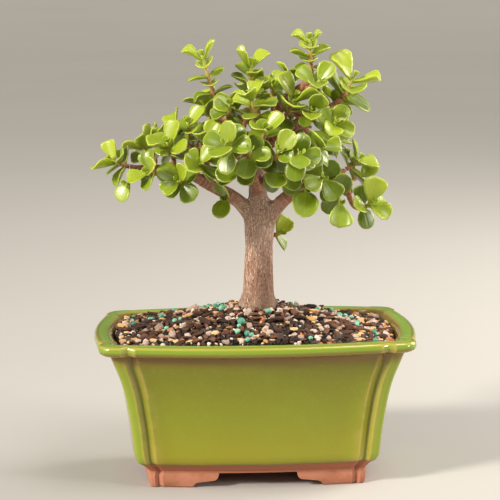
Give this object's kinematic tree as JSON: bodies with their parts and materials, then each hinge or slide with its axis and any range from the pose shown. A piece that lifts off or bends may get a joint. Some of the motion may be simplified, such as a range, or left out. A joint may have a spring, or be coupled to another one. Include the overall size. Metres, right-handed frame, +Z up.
{
  "type": "potted jade bonsai tree",
  "caption": "Small-leaved jade tree trained as a bonsai, standing in gritty soil in a glazed rectangular pot with lobed corners and bracket feet.",
  "frame": {"origin": "middle of the whole object's box, on the surface that the pot's feet stand on", "axes": "+Z up; +X along the pot's long side, to the right as seen from the front; +Y from the front to the back"},
  "size_m": [0.1634, 0.1102, 0.2262],
  "materials": {
    "glazed_stoneware": "green glossy glaze over red-brown stoneware, bare clay on the feet and the lower edge",
    "bonsai_soil": "damp grit and bark, matte",
    "bark": "matte, finely fissured",
    "leaf": "waxy, satin to glossy",
    "mesh_plastic": "matte moulded grid"
  },
  "bodies": {
    "root": {"pot": "glazed_stoneware", "drain_screen_left": "mesh_plastic", "drain_screen_right": "mesh_plastic", "soil": "bonsai_soil", "trunk_and_branches": "bark", "leafy_shoot_01": "leaf", "leafy_shoot_02": "leaf", "leafy_shoot_03": "leaf", "leafy_shoot_04": "leaf", "leafy_shoot_05": "leaf", "leafy_shoot_06": "leaf", "leafy_shoot_07": "leaf", "leafy_shoot_08": "leaf", "leafy_shoot_09": "leaf", "leafy_shoot_10": "leaf", "leafy_shoot_11": "leaf", "leafy_shoot_12": "leaf", "leafy_shoot_13": "leaf", "leafy_shoot_14": "leaf", "leafy_shoot_15": "leaf", "leafy_shoot_16": "leaf", "leafy_shoot_17": "leaf", "leafy_shoot_18": "leaf", "leafy_shoot_19": "leaf", "leafy_shoot_20": "leaf", "leafy_shoot_21": "leaf", "leafy_shoot_22": "leaf", "leafy_shoot_23": "leaf", "leafy_shoot_24": "leaf", "leafy_shoot_25": "leaf", "leafy_shoot_26": "leaf", "leafy_shoot_27": "leaf", "leafy_shoot_28": "leaf", "leafy_shoot_29": "leaf", "leafy_shoot_30": "leaf", "leafy_shoot_31": "leaf", "leafy_shoot_32": "leaf", "leafy_shoot_33": "leaf", "leafy_shoot_34": "leaf", "leafy_shoot_35": "leaf", "leafy_shoot_36": "leaf", "leafy_shoot_37": "leaf", "leafy_shoot_38": "leaf", "leafy_shoot_39": "leaf", "leafy_shoot_40": "leaf", "leafy_shoot_41": "leaf", "leafy_shoot_42": "leaf", "leafy_shoot_43": "leaf", "leafy_shoot_44": "leaf", "leafy_shoot_45": "leaf", "leafy_shoot_46": "leaf", "leafy_shoot_47": "leaf", "leafy_shoot_48": "leaf", "leafy_shoot_49": "leaf", "leafy_shoot_50": "leaf"}
  },
  "joints": []
}
